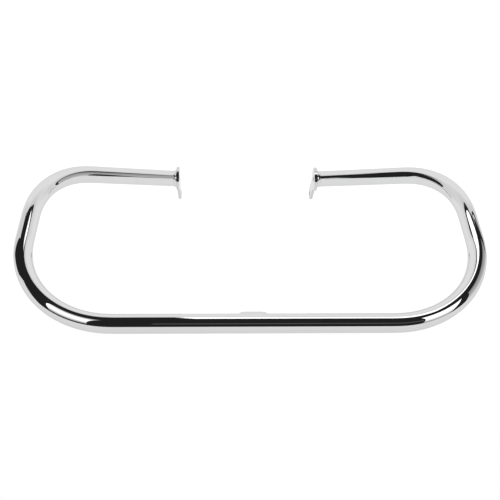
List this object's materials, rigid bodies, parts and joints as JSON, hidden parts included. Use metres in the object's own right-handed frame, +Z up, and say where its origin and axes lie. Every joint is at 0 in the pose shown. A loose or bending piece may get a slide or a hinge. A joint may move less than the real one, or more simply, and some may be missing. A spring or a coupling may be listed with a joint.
{
  "type": "motorcycle crash bar",
  "caption": "Chromed tubular crash bar with a straight cross run, rounded side loops, flat end plates for the frame and a centre tab.",
  "frame": {"origin": "on the floor that the bar lies on, under the middle of its outer box", "axes": "+X across the motorcycle, +Y from the cross run towards the end plates, +Z up from the floor; the Y-Z plane is the mirror plane"},
  "size_m": [0.8016, 0.5474, 0.1502],
  "materials": {
    "tube_chrome": "polished",
    "plate_chrome": "polished",
    "weld_chrome": "polished"
  },
  "bodies": {
    "root": {"bent_tube": "tube_chrome", "left_end_plate": "plate_chrome", "right_end_plate": "plate_chrome", "left_end_weld": "weld_chrome", "right_end_weld": "weld_chrome", "centre_tab": "plate_chrome", "upper_tab_weld": "weld_chrome", "lower_tab_weld": "weld_chrome"}
  },
  "joints": []
}
